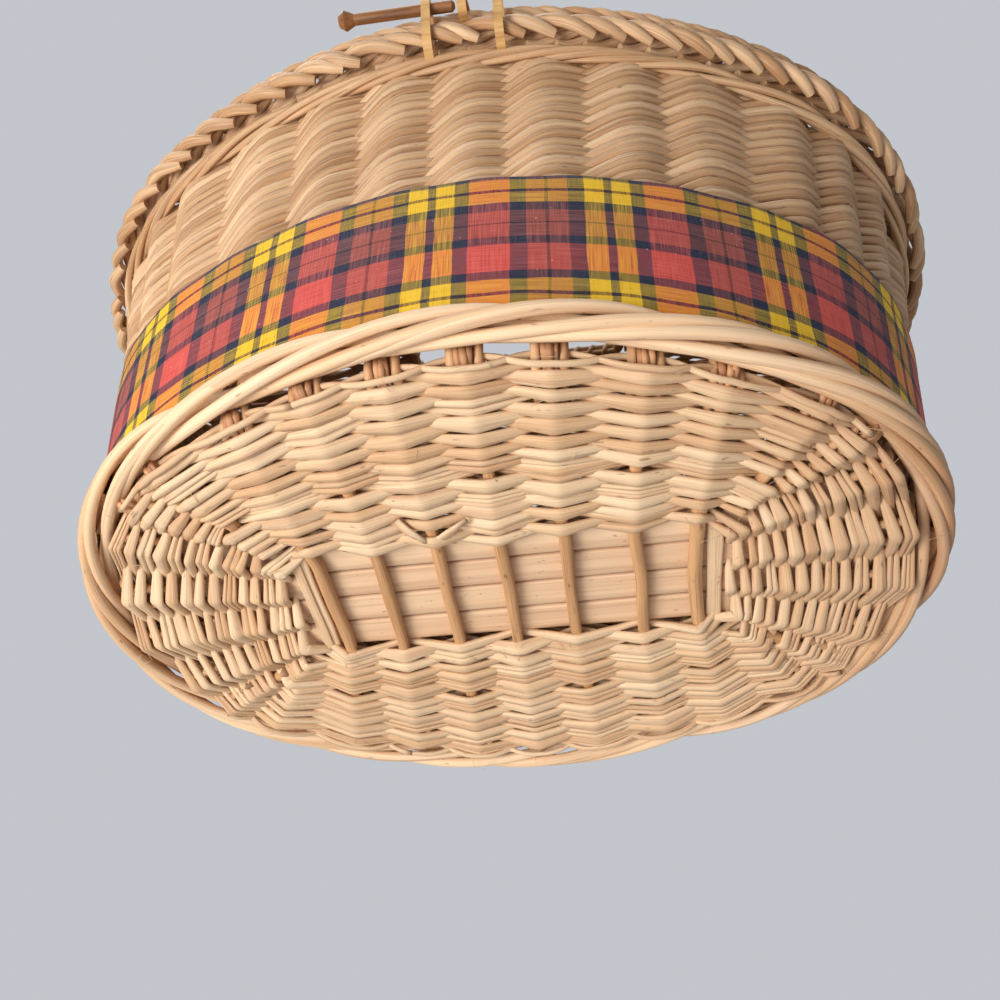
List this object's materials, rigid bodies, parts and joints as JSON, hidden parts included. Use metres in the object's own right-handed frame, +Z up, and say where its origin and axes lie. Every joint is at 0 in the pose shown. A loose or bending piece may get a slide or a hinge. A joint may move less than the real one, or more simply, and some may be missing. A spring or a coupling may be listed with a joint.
{
  "type": "wicker fishing creel",
  "caption": "Oval wicker creel on a lath-and-stick woven base, with a tartan cloth band, plain rim, hinged lid with a fish slot, peg fastening and strap loops.",
  "frame": {"origin": "middle of the base, on the plane that the basket stands on", "axes": "+X along the basket to the right as seen from its front, +Y to the back, where the lid is hinged, +Z up"},
  "size_m": [0.4356, 0.3401, 0.2219],
  "materials": {
    "willow_rods": "peeled willow, satin",
    "woven_willow": "woven split willow, satin",
    "split_laths": "sawn softwood laths, matte",
    "split_cane": "split cane, satin",
    "turned_peg": "turned hardwood, satin",
    "tartan_cloth": "plain-woven tartan cotton"
  },
  "bodies": {
    "basket": {"base_corner_sticks": "willow_rods", "base_lath_1": "split_laths", "base_lath_2": "split_laths", "base_lath_3": "split_laths", "base_lath_4": "split_laths", "base_stick_1": "willow_rods", "base_stick_2": "willow_rods", "base_stick_3": "willow_rods", "base_stick_4": "willow_rods", "base_stick_5": "willow_rods", "base_stick_6": "willow_rods", "base_stick_7": "willow_rods", "base_tie_left": "split_cane", "base_tie_right": "split_cane", "base_weave": "woven_willow", "basket_hinge_loop_left": "split_cane", "basket_hinge_loop_right": "split_cane", "basket_peg_loop_left": "split_cane", "basket_peg_loop_right": "split_cane", "foot_rod_1": "willow_rods", "foot_rod_2": "willow_rods", "foot_rod_3": "willow_rods", "hinge_stick": "willow_rods", "lower_side_weave": "woven_willow", "rim_border": "willow_rods", "side_stakes_back": "willow_rods", "side_stakes_corners": "willow_rods", "side_stakes_front": "willow_rods", "side_stakes_left": "willow_rods", "side_stakes_right": "willow_rods", "strap_loop_left": "split_cane", "strap_loop_right": "split_cane", "tartan_band": "tartan_cloth", "upper_side_weave": "woven_willow"},
    "lid": {"lid_border": "willow_rods", "lid_hinge_loop_left": "split_cane", "lid_hinge_loop_right": "split_cane", "lid_peg_loop": "split_cane", "lid_short_sticks_back": "willow_rods", "lid_short_sticks_front": "willow_rods", "lid_stick_1": "willow_rods", "lid_stick_2": "willow_rods", "lid_stick_3": "willow_rods", "lid_stick_4": "willow_rods", "lid_stick_5": "willow_rods", "lid_stick_6": "willow_rods", "lid_weave": "woven_willow", "slot_binding": "split_cane"},
    "peg": {"closure_peg": "turned_peg"}
  },
  "joints": [
    {"name": "lid_hinge", "type": "hinge", "parent": "basket", "child": "lid", "pos_m": [0, 0.1655, 0.20629], "axis": [-1, 0, 0], "range_deg": [0, 110]},
    {"name": "peg_slide", "type": "slide", "parent": "basket", "child": "peg", "axis": [1, 0, 0], "range_m": [0, 0.028]}
  ]
}
